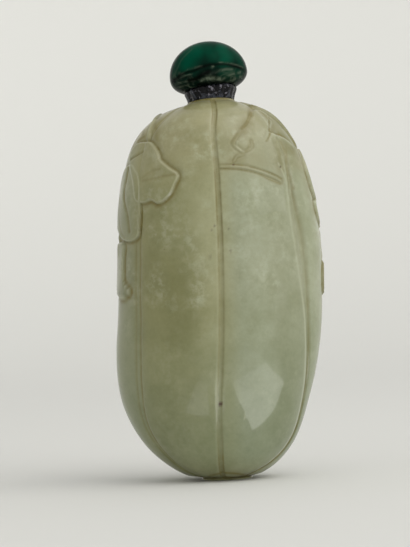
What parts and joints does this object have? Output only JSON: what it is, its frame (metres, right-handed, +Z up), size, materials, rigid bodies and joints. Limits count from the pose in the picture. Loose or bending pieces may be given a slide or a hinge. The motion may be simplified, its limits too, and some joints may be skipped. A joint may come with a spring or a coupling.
{
  "type": "snuff bottle",
  "caption": "Upright ribbed melon-shaped snuff bottle of pale green hardstone with carved leaves and vines, hollow, with a domed green stopper on a dark collar and cork.",
  "frame": {"origin": "bottom centre: under the middle of the foot, on the surface that the bottle stands on", "axes": "+Z up along the bottle's axis to the stopper, +X to the right of the front, -Y out of the front"},
  "size_m": [0.0364, 0.0252, 0.0751],
  "materials": {
    "jade": "polished, waxy, cloudy grey-green, brown in the cut lines",
    "cork": "matt",
    "dark_collar": "glossy near-black with grey marks",
    "green_dome": "glossy dark green, nearly opaque"
  },
  "bodies": {
    "root": {"bottle_body": "jade", "stopper_cork": "cork", "stopper_collar": "dark_collar", "stopper_cap": "green_dome"}
  },
  "joints": []
}
